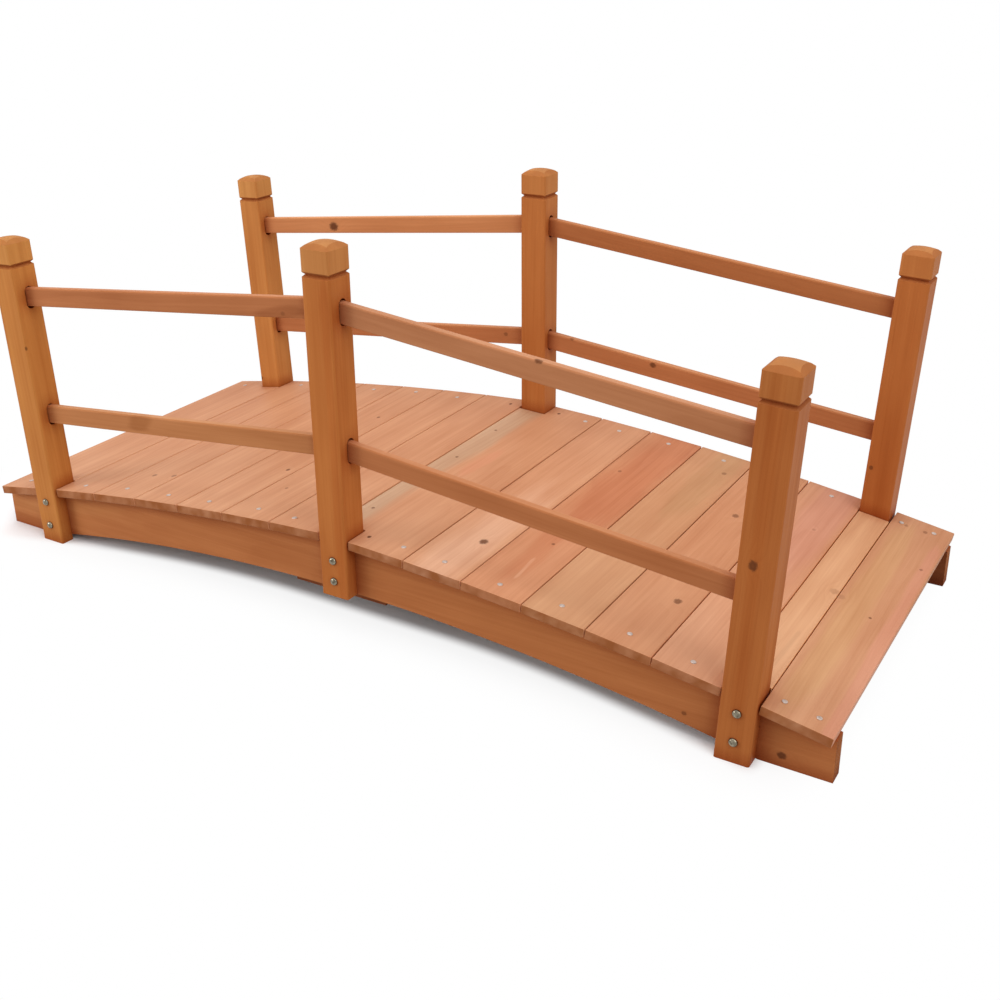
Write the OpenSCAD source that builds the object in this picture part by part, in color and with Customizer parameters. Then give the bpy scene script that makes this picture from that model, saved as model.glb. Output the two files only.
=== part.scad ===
// Moon bridge for a garden: two arched beams carry a deck of cross boards, and
// six posts, half lapped over the beams, carry two rails on each side.
// X runs along the bridge, Y across it and Z up. The origin is on the ground,
// under the middle of the bridge. Front is -Y and right is +X.

/* [Deck] */
// Length of the bridge, from beam end to beam end
deck_l = 1400; // [1300:5:1700]
// Width of the deck, which is the length of a deck board
deck_w = 600; // [450:5:900]
// Thickness of a deck board
board_t = 13; // [10:0.5:20]
// Gap between two deck boards
board_gap = 1.5; // [0.5:0.1:6]
// Width of the wide board that is notched round the middle posts
wide_board_w = 138; // [120:1:160]

/* [Arched beams] */
// Thickness of a beam
beam_t = 23; // [16:0.5:40]
// How far a beam's outer face stands in from the ends of the deck boards
beam_set_in = 17; // [8:0.5:40]
// Height of a beam's upper edge where its two halves meet
crown_top = 137.8; // [120:0.1:180]
// Height of a beam's upper edge at its end
end_top = 57.5; // [50:0.5:70]
// Radius of a beam's upper edge
top_r = 4850; // [3500:50:8000]
// Height of the arch under a beam
arch_h = 60; // [40:1:75]
// Length of the flat foot at each end of a beam
foot_l = 90; // [60:1:110]

/* [Splice boards] */
// Length of the board that joins the two halves of a beam
splice_l = 160; // [120:5:240]
// Thickness of a splice board
splice_t = 22; // [12:1:30]
// How far a splice board shows below the arch
splice_drop = 21; // [0:1:30]

/* [Posts] */
// Width and depth of a post
post_w = 45; // [36:1:60]
// Length of a post, from its foot to the top of its cap
post_l = 500; // [450:5:700]
// Distance from the end of a beam back to the middle of an end post's foot
post_set_back = 116; // [100:1:140]
// Outward lean of an end post, in degrees
post_lean = 2.8; // [0:0.1:6]
// How far a post's outer face stands proud of the deck's edge
post_proud = 4.5; // [0:0.5:15]
// Radius of the four long edges of a post
post_edge_r = 3; // [1:0.5:6]

/* [Post caps] */
// Distance from the top of a post down to the middle of its groove
groove_down = 41.5; // [25:0.5:60]
// Width of the groove where it meets the post's face
groove_w = 7.5; // [3:0.5:10]
// Depth of the groove
groove_d = 4; // [2:0.5:6]
// Height of the chamfers round the top
chamfer_h = 8; // [3:0.5:12]
// How far in from the post's faces the chamfers would meet a flat top
chamfer_w = 9.5; // [4:0.5:14]
// Radius of the ball that the top is domed to
dome_r = 80; // [60:5:300]

/* [Rails] */
// Thickness of a rail
rail_t = 13; // [8:0.5:18]
// Height of a rail
rail_h = 28.5; // [20:0.5:45]
// Radius of a rail's two upper edges
rail_edge_r = 3; // [1:0.5:5]
// How far a rail's middle lies towards the deck from the middle of its posts
rail_set_in = 2.5; // [0:0.5:6]
// Height of the top rail up a middle post, from the foot
top_rail_mid_up = 411; // [380:1:430]
// Height of the top rail up an end post, from the foot
top_rail_end_up = 407; // [380:1:430]
// Height of the lower rail up a middle post, from the foot
low_rail_mid_up = 218.5; // [180:0.5:260]
// Height of the lower rail up an end post, from the foot
low_rail_end_up = 216.5; // [180:0.5:260]
// Depth of the slots that the rails are let into
slot_depth = 20; // [12:1:22]

/* [Bolt holes] */
// Diameter of the holes for the bolts that hold the posts
bolt_hole_d = 6.5; // [4:0.5:10]
// Height of a middle post's lower bolt above the foot
mid_bolt_up = 24; // [15:1:32]
// Distance of a middle post's upper bolt below the beam's upper edge
mid_bolt_down = 21; // [10:1:30]
// Height of an end post's lower bolt above the ground
end_bolt_up = 29; // [15:1:36]
// Distance of an end post's upper bolt below the beam's upper edge
end_bolt_down = 8.5; // [6:0.5:25]

/* [Clearances] */
// Clearance under the deck boards and under the posts' shoulders
seat_gap = 0.2; // [0.1:0.1:0.8]
// Clearance between two faces that are bolted together
lap_gap = 0.2; // [0.1:0.1:0.5]
// Clearance between a deck board and a post
notch_gap = 1.2; // [0.5:0.1:4]
// Clearance at each end of the narrow board that is wedged between two end posts
wedge_gap = 0.3; // [0.1:0.1:1]
// Distance from the middle posts to the joint of the two halves
joint_off = 3.5; // [2:0.5:10]
// Gap between the two halves of a beam
joint_gap = 0.6; // [0.2:0.1:3]
// Clearance on each side of a rail in its slot
slot_side_gap = 1.4; // [0.2:0.1:2]
// Clearance at the end of a rail in its slot
slot_end_gap = 2; // [0.5:0.5:5]
// Clearance between a splice board and the deck boards over it
splice_gap = 1; // [0.3:0.1:3]

/* [Hidden] */

// Common boards between the posts, in the left half and in the right half
left_boards = 6;
right_boards = 5;
// Facets of the long arcs, and of small circles
arc_faces = 720;
dome_faces = 96;
round_faces = 48;
// How far a cutter runs past what it cuts
past = 2;

// Half the length, and the faces of the beams and posts across the bridge
half_l = deck_l / 2;
post_x = half_l - post_set_back;
beam_out = deck_w / 2 - beam_set_in;
beam_in = beam_out - beam_t;
post_out = deck_w / 2 + post_proud;
post_mid = post_out - post_w / 2;
rail_mid = post_mid - rail_set_in;
joint_x = -post_w / 2 - joint_off;

// The beams' upper edge: each half is one arc from the joint to the beam's end.
// half is -1 on the left and 1 on the right.
crown = [joint_x, crown_top];
function beam_end(half) = [half * half_l, end_top];
function chord(half) = beam_end(half) - crown;
function chord_normal(half) = half * [chord(half)[1], -chord(half)[0]] / norm(chord(half));
function arc_drop(half) = sqrt(top_r * top_r - pow(norm(chord(half)) / 2, 2));
function arc_mid(half) = (beam_end(half) + crown) / 2 + arc_drop(half) * chord_normal(half);
function angle_at(half, x, out = 0) = asin((x - arc_mid(half)[0]) / (top_r + out));
function top_z(half, x) = arc_mid(half)[1] + top_r * cos(angle_at(half, x));

// The arch under the beams passes through both feet and its crown
arch_r = (pow(half_l - foot_l, 2) + arch_h * arch_h) / (2 * arch_h);

// A post stands at spot -1, 0 or 1: left end, middle or right end.
function post_foot(spot) = spot == 0 ? arch_h : 0;
function lean(spot) = spot * post_lean;
function post_axis_x(spot, z) = spot * post_x + z * tan(lean(spot));
function half_at(spot) = spot < 0 ? -1 : 1;
function seat_z(spot) = top_z(half_at(spot), spot * post_x);

// Where the row of boards between the end posts starts and ends, as angles of the arc
half_gap_angle = board_gap / 2 / top_r * 180 / PI;
board_top = seat_gap + board_t;
function post_face(half, z, way) =
    half * (post_x + z * tan(post_lean) + way * (post_w / 2 / cos(post_lean) + notch_gap));
function row_start(half) =
    angle_at(half, post_face(half, seat_z(half) + board_top, -1), board_top) + half * half_gap_angle;
function row_end(half) =
    angle_at(half, post_face(half, seat_z(half), 1), seat_gap) - half * half_gap_angle;
function deck_end(half) = angle_at(half, half * half_l, board_top) + half * half_gap_angle;

// The middles of the gaps between boards, from the joint outwards
function spread(a, b, n) = [for (k = [0 : n]) a + (b - a) * k / n];
function joint_angle(half) = angle_at(half, joint_x);
wide_angle = (wide_board_w + board_gap) / top_r * 180 / PI;
left_gaps = concat(spread(joint_angle(-1), row_start(-1), left_boards), [deck_end(-1)]);
right_gaps = concat([joint_angle(1)],
    spread(joint_angle(1) + wide_angle, row_start(1), right_boards),
    [row_end(1), deck_end(1)]);
left_count = len(left_gaps) - 1;
right_count = len(right_gaps) - 1;

// A rail's straight middle line runs from a middle post's axis to an end post's axis
function rail_start(mid_up) = [0, post_foot(0) + mid_up];
function rail_stop(end_up) = [post_x + end_up * sin(post_lean), end_up * cos(post_lean)];
function rail_line(mid_up, end_up) = rail_stop(end_up) - rail_start(mid_up);
function rail_fall(mid_up, end_up) =
    atan2(-rail_line(mid_up, end_up)[1], rail_line(mid_up, end_up)[0]);

// A slot is wider than the rail and has round ends. The rail's lower corners sit on the
// round end, which leaves a crescent of this height under the rail. Its upper edges are
// rounded, so that the crescent over it is lower.
slot_r = rail_t / 2 + slot_side_gap;
function crescent(r, half_w) = r - sqrt(r * r - half_w * half_w);
low_crescent = crescent(slot_r, rail_t / 2);
high_crescent = crescent(slot_r - rail_edge_r, rail_t / 2 - rail_edge_r);
slot_mid = (post_w - slot_depth) / 2;
slot_drop = (low_crescent - high_crescent) / 2;
function slot_h(fall) =
    rail_h / cos(fall) + slot_depth * tan(fall) + low_crescent + high_crescent + 2 * seat_gap;

rails = [["top", top_rail_mid_up, top_rail_end_up], ["low", low_rail_mid_up, low_rail_end_up]];

// Draws its children in the plane of x and z, from one distance across the bridge to another
module upright(near, far, side) {
    translate([0, side > 0 ? far : -near, 0])
        rotate([90, 0, 0])
            linear_extrude(far - near)
                children();
}

// Everything under the arc of a beam's upper edge, moved out by a clearance
module under_arc(half, out) {
    translate(arc_mid(half))
        circle(r = top_r + out, $fn = arc_faces);
}

module beam_outline(half) {
    near_x = joint_x + half * joint_gap / 2;
    difference() {
        intersection() {
            under_arc(half, 0);
            translate([min(near_x, half * half_l), 0])
                square([half * (half * half_l - near_x), crown_top + past]);
        }
        translate([0, arch_h - arch_r])
            circle(r = arch_r, $fn = arc_faces);
    }
}

// The two bolt holes of a post, through the lap, the beam and what is behind it
module bolt_holes(spot, side) {
    low = spot == 0 ? arch_h + mid_bolt_up : end_bolt_up;
    high = seat_z(spot) - (spot == 0 ? mid_bolt_down : end_bolt_down);
    for (z = [low, high])
        translate([post_axis_x(spot, z), side * (post_out + past), z])
            rotate([side * 90, 0, 0])
                cylinder(d = bolt_hole_d, h = post_w + splice_t + 2 * past, $fn = round_faces);
}

module beam(half, side) {
    color([0.72, 0.44, 0.26])
        difference() {
            upright(beam_in, beam_out, side)
                beam_outline(half);
            bolt_holes(half, side);
            if (half > 0)
                bolt_holes(0, side);
        }
}

module splice_board(side) {
    bottom = arch_h - splice_drop;
    ends = [top_z(-1, joint_x - splice_l / 2), top_z(1, joint_x + splice_l / 2)];
    height = min(ends) - splice_gap - bottom;
    color([0.66, 0.40, 0.24])
        difference() {
            upright(beam_in - lap_gap - splice_t, beam_in - lap_gap, side)
                translate([joint_x - splice_l / 2, bottom])
                    square([splice_l, height]);
            bolt_holes(0, side);
        }
}

// Puts its children in a post's own frame, with the foot at the origin and +Z up the post
module post_frame(spot, side) {
    translate([spot * post_x, side * post_mid, post_foot(spot)])
        rotate([0, lean(spot), 0])
            children();
}

module rounded_square(size, r) {
    inner = size / 2 - r;
    square([size, 2 * inner], center = true);
    square([2 * inner, size], center = true);
    for (x = [-inner, inner], y = [-inner, inner])
        translate([x, y])
            circle(r = r, $fn = round_faces);
}

// Everything over the ball that the top is domed to, down to where it meets the corners
module above_dome() {
    corner_drop = dome_r - sqrt(dome_r * dome_r - post_w * post_w / 2);
    difference() {
        translate([-post_w, -post_w, post_l - corner_drop])
            cube([2 * post_w, 2 * post_w, corner_drop + 2 * past]);
        translate([0, 0, post_l - dome_r])
            sphere(r = dome_r, $fn = dome_faces);
    }
}

// The groove and the chamfers are cut by one prism each on all four faces of the post
module cap_cuts() {
    for (turn = [0 : 90 : 270])
        rotate([0, 0, turn])
            translate([0, post_w, 0])
                rotate([90, 0, 0])
                    linear_extrude(2 * post_w) {
                        translate([post_w / 2, post_l - groove_down])
                            polygon([[-groove_d, 0], [past, -groove_w / 2 * (1 + past / groove_d)],
                                [past, groove_w / 2 * (1 + past / groove_d)]]);
                        translate([post_w / 2, post_l])
                            polygon([[-chamfer_w - past * chamfer_w / chamfer_h, past],
                                [0, -chamfer_h], [past, -chamfer_h], [past, past]]);
                    }
}

// A slot for a rail, in the post's side face that looks along the bridge. height is that
// of the rail's middle line.
module rail_slot(way, height, tall) {
    straight = tall - 2 * slot_r;
    translate([way * (post_w / 2 - slot_depth), 0, height - slot_drop])
        rotate([90, 0, 90])
            mirror([0, 0, way < 0 ? 1 : 0])
                linear_extrude(slot_depth + past) {
                    square([2 * slot_r, straight], center = true);
                    for (end = [-straight / 2, straight / 2])
                        translate([0, end])
                            circle(r = slot_r, $fn = round_faces);
                }
}

module post(spot, side) {
    foot_cut = post_w / 2 * tan(abs(lean(spot)));
    color([0.74, 0.44, 0.24])
        difference() {
            post_frame(spot, side) {
                difference() {
                    translate([0, 0, -foot_cut])
                        linear_extrude(post_l + foot_cut + past)
                            rounded_square(post_w, post_edge_r);
                    above_dome();
                    cap_cuts();
                    translate([0, -side * rail_set_in, 0])
                        for (rail = rails) {
                            fall = rail_fall(rail[1], rail[2]);
                            if (spot == 0)
                                for (way = [-1, 1])
                                    rail_slot(way, rail[1] - slot_mid * tan(fall), slot_h(fall));
                            else
                                rail_slot(-spot, rail[2] + slot_mid * tan(fall - post_lean),
                                    slot_h(fall - post_lean));
                        }
                }
            }
            upright(0, beam_out + lap_gap, side)
                under_arc(half_at(spot), seat_gap);
            bolt_holes(spot, side);
            translate([spot * post_x - post_w, side * post_mid - post_w, -post_w])
                cube([2 * post_w, 2 * post_w, post_w]);
        }
}

module rail_outline() {
    flat = rail_t / 2 - rail_edge_r;
    translate([-rail_t / 2, -rail_h / 2])
        square([rail_t, rail_h - rail_edge_r]);
    translate([-flat, -rail_h / 2])
        square([2 * flat, rail_h]);
    for (x = [-flat, flat])
        translate([x, rail_h / 2 - rail_edge_r])
            circle(r = rail_edge_r, $fn = round_faces);
}

module rail(half, side, mid_up, end_up) {
    inset = post_w / 2 - slot_depth + slot_end_gap;
    length = norm(rail_line(mid_up, end_up)) - 2 * inset;
    color([0.78, 0.47, 0.28])
        mirror([half < 0 ? 1 : 0, 0, 0])
            translate([0, side * rail_mid, rail_start(mid_up)[1]])
                rotate([0, rail_fall(mid_up, end_up), 0])
                    translate([inset, 0, 0])
                        rotate([90, 0, 90])
                            linear_extrude(length)
                                rail_outline();
}

// Cuts a board's corners round the two posts of a row. open is the way along the bridge
// on which the notches run out of the board's edge.
module post_notches(spot, open) {
    clear = post_w / 2 + notch_gap;
    for (side = [-1, 1])
        post_frame(spot, side)
            translate([open > 0 ? -clear : -clear - post_w, side > 0 ? -clear : -clear - post_w, 0])
                cube([2 * clear + post_w, 2 * clear + post_w, post_l]);
}

// A flat board that lies across the arc of the beams, between two gaps
module board_blank(half, from, to, length) {
    middle = (from + to) / 2;
    width = abs(to - from) * PI / 180 * top_r - board_gap;
    lift = top_r + seat_gap;
    translate([arc_mid(half)[0], 0, arc_mid(half)[1]])
        rotate([0, middle, 0])
            translate([-width / 2, -length / 2, lift])
                cube([width, length, board_t]);
}

// Board i, counted from 0 at the left end of the bridge
module deck_board(i) {
    half = i < left_count ? -1 : 1;
    gaps = half < 0 ? left_gaps : right_gaps;
    k = half < 0 ? left_count - 1 - i : i - left_count;
    between_posts = half > 0 && k == right_count - 2;
    length = between_posts ? 2 * (post_out - post_w - wedge_gap) : deck_w;
    color(i == 10 ? [0.86, 0.55, 0.42] : [0.85, 0.60, 0.44])
        difference() {
            board_blank(half, gaps[k], gaps[k + 1], length);
            if (half < 0 && k == left_count - 1)
                post_notches(-1, 1);
            if (half > 0 && k == 0)
                post_notches(0, -1);
        }
}

spot_names = ["left", "middle", "right"];
function side_name(side) = side < 0 ? "front" : "back";
function place_name(spot, side) = str(spot_names[spot + 1], "_", side_name(side));

for (side = [-1, 1]) {
    for (half = [-1, 1]) {
        beam(half, side);
        for (rail = rails)
            rail(half, side, rail[1], rail[2]);
    }
    splice_board(side);
    for (spot = [-1 : 1])
        post(spot, side);
}
for (i = [0 : left_count + right_count - 1])
    deck_board(i);
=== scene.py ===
# %% [markdown]
# # A garden moon bridge
# The real bridge is a small kit of stained softwood: arched beams, a deck of cross boards, six posts with
# cut caps and two rails a side, held by bolts and nails. Its solids come from the CAD frame. This lesson
# rounds their edges, stains the wood, and adds the steel.

# %% Load the frame
import math

import bpy
import numpy as np
from mathutils import Matrix, Vector


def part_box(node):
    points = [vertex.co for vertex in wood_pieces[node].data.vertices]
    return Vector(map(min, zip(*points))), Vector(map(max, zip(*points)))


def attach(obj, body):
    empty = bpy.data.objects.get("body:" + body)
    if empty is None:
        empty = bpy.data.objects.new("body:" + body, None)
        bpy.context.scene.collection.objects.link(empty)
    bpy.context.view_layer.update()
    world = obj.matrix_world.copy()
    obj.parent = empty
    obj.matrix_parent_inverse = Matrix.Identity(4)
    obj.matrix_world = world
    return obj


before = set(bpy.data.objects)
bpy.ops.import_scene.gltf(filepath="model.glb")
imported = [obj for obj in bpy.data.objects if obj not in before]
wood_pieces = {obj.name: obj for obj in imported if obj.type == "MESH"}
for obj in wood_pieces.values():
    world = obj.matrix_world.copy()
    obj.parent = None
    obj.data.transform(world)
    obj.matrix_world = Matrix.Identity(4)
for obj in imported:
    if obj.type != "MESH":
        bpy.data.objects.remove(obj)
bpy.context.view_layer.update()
MM = 0.001

# %% [markdown]
# ## The camera
# A camera is a place, a direction and a lens. The direction is three angles: the turn round the object, the
# fall below the horizon and a small roll. A fit to a photograph gives the focal length in pixels, and the
# shift moves the middle of the picture to where the lens's own axis met it.

# %% Camera
IMAGE_SIZE = 1000
SENSOR = 36
VIEW_TURN, VIEW_FALL, VIEW_ROLL = (math.radians(angle) for angle in (32.13, 22.28, -1.01))
CAMERA_PLACE = Vector((0.9899, -1.5185, 0.9257))
FOCAL_PIXELS = 1265
LENS_AXIS = (470.5, 442.6)


def view_axes(turn, fall, roll):
    """The camera's right, up and back: forward is (-sin turn cos fall, cos turn cos fall, -sin fall)."""
    forward = Vector((-math.sin(turn) * math.cos(fall), math.cos(turn) * math.cos(fall), -math.sin(fall)))
    level = Vector((math.cos(turn), math.sin(turn), 0))
    above = level.cross(forward)
    right = level * math.cos(roll) + above * math.sin(roll)
    return right, right.cross(forward), -forward


camera = bpy.data.objects.new("camera", bpy.data.cameras.new("camera"))
bpy.context.scene.collection.objects.link(camera)
camera.matrix_world = Matrix.Translation(CAMERA_PLACE) @ Matrix(
    view_axes(VIEW_TURN, VIEW_FALL, VIEW_ROLL)).transposed().to_4x4()
camera.data.sensor_width = SENSOR
camera.data.lens = SENSOR * FOCAL_PIXELS / IMAGE_SIZE
camera.data.shift_x = (IMAGE_SIZE / 2 - LENS_AXIS[0]) / IMAGE_SIZE
camera.data.shift_y = (LENS_AXIS[1] - IMAGE_SIZE / 2) / IMAGE_SIZE
bpy.context.scene.camera = camera
print("lens", round(camera.data.lens, 2), "mm")

# %% [markdown]
# ## Building a mesh and a material in code
# Every new piece here is a surface worked out as whole arrays and handed to Blender in one go. Materials are
# trees of nodes, and a helper that adds a node, sets its plain values and links its sockets keeps such a
# tree readable as a list of steps.

# %% Helpers
def make_piece(name, vertices, faces):
    """A mesh object from arrays of vertices, in metres, and faces, whose place is in the mesh."""
    mesh = bpy.data.meshes.new(name)
    mesh.from_pydata(vertices.tolist(), [], faces)
    mesh.update()
    piece = bpy.data.objects.new(name, mesh)
    bpy.context.scene.collection.objects.link(piece)
    return piece


def add_node(tree, kind, inputs=None, **settings):
    """Adds a node. An input named by its label or number is linked if it is given a socket, and else set.
    Three numbers for a colour get a full fourth one."""
    made = tree.nodes.new(kind)
    for key, value in settings.items():
        setattr(made, key, value)
    for key, value in (inputs or {}).items():
        socket = made.inputs[key]
        if isinstance(value, bpy.types.NodeSocket):
            tree.links.new(value, socket)
        else:
            socket.default_value = (*value, 1) if socket.type == "RGBA" else value
    return made


def sums(tree, operation, *values, clamp=False):
    """One step of arithmetic on numbers or sockets, and its result."""
    made = add_node(tree, "ShaderNodeMath", dict(enumerate(values)), operation=operation, use_clamp=clamp)
    return made.outputs[0]


def vector_sums(tree, operation, *values):
    """One step of arithmetic on vectors. A length, a distance and a dot product give a number."""
    made = add_node(tree, "ShaderNodeVectorMath", dict(enumerate(values)), operation=operation)
    return made.outputs["Value" if operation in ("LENGTH", "DISTANCE", "DOT_PRODUCT") else "Vector"]


def parts_of(tree, vector):
    """The x, y and z of a vector."""
    return add_node(tree, "ShaderNodeSeparateXYZ", {0: vector}).outputs


def blend(tree, share, first, second, way="MIX"):
    """Goes from the first colour to the second by a share from 0 to 1."""
    made = add_node(tree, "ShaderNodeMix", {0: share, 6: first, 7: second}, data_type="RGBA", blend_type=way)
    return made.outputs[2]


def tinted(tree, share, colour, factor):
    """The colour times a factor, by a share from 0 to 1."""
    return blend(tree, share, colour, factor, "MULTIPLY")


def ease(tree, value, low, high, start=0.0, stop=1.0):
    """A smooth step: start below low, stop above high."""
    made = add_node(tree, "ShaderNodeMapRange", {0: value, 1: low, 2: high, 3: start, 4: stop},
                    interpolation_type="SMOOTHSTEP")
    return made.outputs[0]


def new_tree(name):
    """An empty material with a surface shader, its tree and that shader."""
    material = bpy.data.materials.new(name)
    material.use_nodes = True
    tree = material.node_tree
    return material, tree, tree.nodes["Principled BSDF"]


def new_group(name, takes, gives):
    """An empty node group with sockets of these kinds and names, and the sockets that it is given."""
    tree = bpy.data.node_groups.new(name, "ShaderNodeTree")
    for way, sockets in (("INPUT", takes), ("OUTPUT", gives)):
        for kind, labels in sockets.items():
            for label in labels:
                tree.interface.new_socket(label, in_out=way, socket_type="NodeSocket" + kind)
    return tree, add_node(tree, "NodeGroupInput").outputs


def own_place(tree):
    """A place on the object, in the object's coordinates."""
    return add_node(tree, "ShaderNodeTexCoord").outputs["Object"]


def facing_of(tree):
    """The way in which a place on the surface faces."""
    return add_node(tree, "ShaderNodeNewGeometry").outputs["Normal"]


print("helpers ready")

# %% [markdown]
# ## Floor, backdrop and light
# A product picture stands on white. Turning up the lamps would wash the wood out, so the white comes from
# the floor's own material. Under the bridge the camera sees an ordinary pale floor with its real shadow. A
# step outside, a plain white glow takes over, quickly at first and then slowly. Rays that light the bridge
# always meet the ordinary floor. The world does the same, and mirror-like surfaces see its white too.

# %% Floor and world
FLOOR_HALF = 20.0
WHITE = (1, 1, 1)
SEEN_FLOOR = (0.90, 0.90, 0.91)
LIGHTING_FLOOR = (0.50, 0.49, 0.48)
# Where the floor shows its full shadow: lowest and highest x, and lowest and highest y, in metres
SHADOW_BOX = ((-0.78, 0.595), (-0.222, 0.27))
# Beyond this distance from the middle the box widens, by this factor times the square of the step beyond
BEND_FROM, BEND = 0.12, 0.32
# Shares of the glow that come in over these distances outside that box, in metres
GLOW_STEPS = ((0.86, 0.0, 0.028), (0.14, 0.02, 0.12))
WORLD_LIGHT = 0.7

corners = np.array([(-1, -1, 0), (1, -1, 0), (1, 1, 0), (-1, 1, 0)]) * FLOOR_HALF
floor = make_piece("floor", corners, [(0, 1, 2, 3)])


def seen_rays(tree):
    """1 on rays from the camera, or off a mirror or through glass, and 0 on rays that carry light."""
    path = add_node(tree, "ShaderNodeLightPath")
    bright = sums(tree, "MAXIMUM", path.outputs["Is Camera Ray"], path.outputs["Is Glossy Ray"])
    return sums(tree, "MAXIMUM", bright, path.outputs["Is Transmission Ray"])


def outside_shadow(tree):
    """How far a place on the floor lies outside the shadow's box, in metres. Along each side it is the
    largest of low - p, p - high and 0, and the distance is the length of the two. Towards both ends, where
    the arch comes down to the ground, the box grows wider."""
    place = parts_of(tree, own_place(tree))
    from_middle = sums(tree, "ABSOLUTE", place[0])
    step = sums(tree, "MAXIMUM", sums(tree, "SUBTRACT", from_middle, BEND_FROM), 0.0)
    wider = (0.0, sums(tree, "MULTIPLY", sums(tree, "MULTIPLY", step, step), BEND))
    squares = []
    for way, (low, high) in enumerate(SHADOW_BOX):
        short_of = sums(tree, "SUBTRACT", sums(tree, "SUBTRACT", low, place[way]), wider[way])
        beyond = sums(tree, "SUBTRACT", sums(tree, "SUBTRACT", place[way], high), wider[way])
        outside = sums(tree, "MAXIMUM", sums(tree, "MAXIMUM", short_of, beyond), 0.0)
        squares.append(sums(tree, "MULTIPLY", outside, outside))
    return sums(tree, "SQRT", sums(tree, "ADD", *squares))


def floor_material():
    """An ordinary pale floor that, where the camera sees it outside the shadow, glows white instead."""
    material, tree, shader = new_tree("pale floor")
    tree.nodes.remove(shader)
    seen = seen_rays(tree)
    matt = add_node(tree, "ShaderNodeBsdfDiffuse",
                    {"Color": blend(tree, seen, LIGHTING_FLOOR, SEEN_FLOOR)})
    glow = add_node(tree, "ShaderNodeEmission", {"Color": WHITE, "Strength": 1.0})
    outside = outside_shadow(tree)
    spread = sums(tree, "ADD", *(ease(tree, outside, low, high, 0.0, most)
                                 for most, low, high in GLOW_STEPS))
    share = sums(tree, "MULTIPLY", seen, spread)
    surface = add_node(tree, "ShaderNodeMixShader", {0: share, 1: matt.outputs[0], 2: glow.outputs[0]})
    tree.links.new(surface.outputs[0], tree.nodes["Material Output"].inputs["Surface"])
    return material


floor.data.materials.append(floor_material())

world = bpy.data.worlds.new("studio")
bpy.context.scene.world = world
world.use_nodes = True
backdrop = world.node_tree.nodes["Background"]
backdrop.inputs["Color"].default_value = (*WHITE, 1)
world_strength = ease(world.node_tree, seen_rays(world.node_tree), 0, 1, WORLD_LIGHT, 1.0)
world.node_tree.links.new(world_strength, backdrop.inputs["Strength"])
bpy.context.scene.view_settings.view_transform = "Standard"
print("floor", 2 * FLOOR_HALF, "m wide, world light", WORLD_LIGHT)

# %% [markdown]
# ## Lamps
# Large lamps make soft shadows, because a point in half shadow still sees part of them. One overhead lights
# the deck, one from the right the ends of the posts, and a low one from the front left fills the faces of the
# railings and gives the bolt heads their highlight.

# %% Soft lamps
# name: place in metres, width in metres, power in watts
LAMPS = {
    "key_from_the_right": ((5.2, -2.0, 4.5), 4.6, 152),
    "broad_overhead": ((-0.3, 0.0, 3.4), 3.0, 52),
    "low_front_fill": ((-2.9, -2.3, 1.2), 1.6, 44),
}
LIT_MIDDLE = Vector((0, 0, 0.2))


def add_lamp(name, place, width, power):
    """A square soft lamp that looks at the middle of the bridge."""
    lamp = bpy.data.lights.new(name, "AREA")
    lamp.size = width
    lamp.energy = power
    holder = bpy.data.objects.new(name, lamp)
    holder.location = place
    holder.rotation_euler = (LIT_MIDDLE - Vector(place)).to_track_quat("-Z", "Y").to_euler()
    bpy.context.scene.collection.objects.link(holder)


for lamp_name, lamp_facts in LAMPS.items():
    add_lamp(lamp_name, *lamp_facts)
print(len(LAMPS), "lamps")

# %% [markdown]
# ## Which way the grain runs
# A sawn piece of wood has its grain along its length, so rings show as long lines on the faces and as arcs on
# the ends. The pieces lean and slope, and each gets its own axes. They are read from the solid itself: the
# two largest sets of parallel faces lie along the grain.

# %% Axes of a piece
# A slanting way that tells opposite faces apart, and the cosine under which two ways are at right angles
SLANT = np.array([0.1, 0.2, 1.0])
SQUARE = 0.1


def read_rows(things, label, size):
    """One property of all points or faces of a mesh, as rows of an array."""
    values = np.empty(size * len(things))
    things.foreach_get(label, values)
    return values.reshape(-1, size)


def own_axes(name):
    """Three unit vectors as columns: along the grain, across it, and through the largest faces."""
    if "beam" in name or "splice" in name:
        return np.array([(1, 0, 0), (0, 0, 1), (0, -1, 0)], float).T
    faces = wood_pieces[name].data.polygons
    normals, areas = read_rows(faces, "normal", 3), read_rows(faces, "area", 1).ravel()
    ways = np.sign(normals @ SLANT)
    sets, members = np.unique(np.round(normals * ways[:, None], 2) + 0.0, axis=0, return_inverse=True)
    order = np.argsort(-np.bincount(members.ravel(), areas))
    through = sets[order[0]]
    across = next(sets[i] for i in order if abs(sets[i] @ through) < SQUARE)
    grain = np.cross(across, through)
    grain /= np.linalg.norm(grain)
    across = np.cross(through, grain)
    across /= np.linalg.norm(across)
    return np.array([grain, across, np.cross(grain, across)]).T


AXES = {name: own_axes(name) for name in wood_pieces}
CENTRES = {name: np.array(sum(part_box(name), Vector()) / 2) for name in wood_pieces}


def in_own_frame(name, places):
    """Places in metres as millimetres along, across and through a piece, from its middle."""
    return (np.asarray(places) - CENTRES[name]) @ AXES[name] / MM


VERTICES = {name: read_rows(piece.data.vertices, "co", 3) for name, piece in wood_pieces.items()}
OWN_VERTICES = {name: in_own_frame(name, places) for name, places in VERTICES.items()}
leaning = np.degrees(np.arccos(abs(AXES["right_front_post"][2, 0])))
print("the right front post leans by", round(float(leaning), 1), "degrees")

# %% [markdown]
# ## Softened edges
# No sawn board has a knife edge: sandpaper leaves a radius of about a millimetre, and that thin band catches
# the light. The solids arrive as loose triangles, so their double points are welded and their flat faces
# joined before a bevel follows the true edges. Last, the shading is weighted by the faces' areas, so that
# flat faces look flat and only the rounded edges turn the light.

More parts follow.
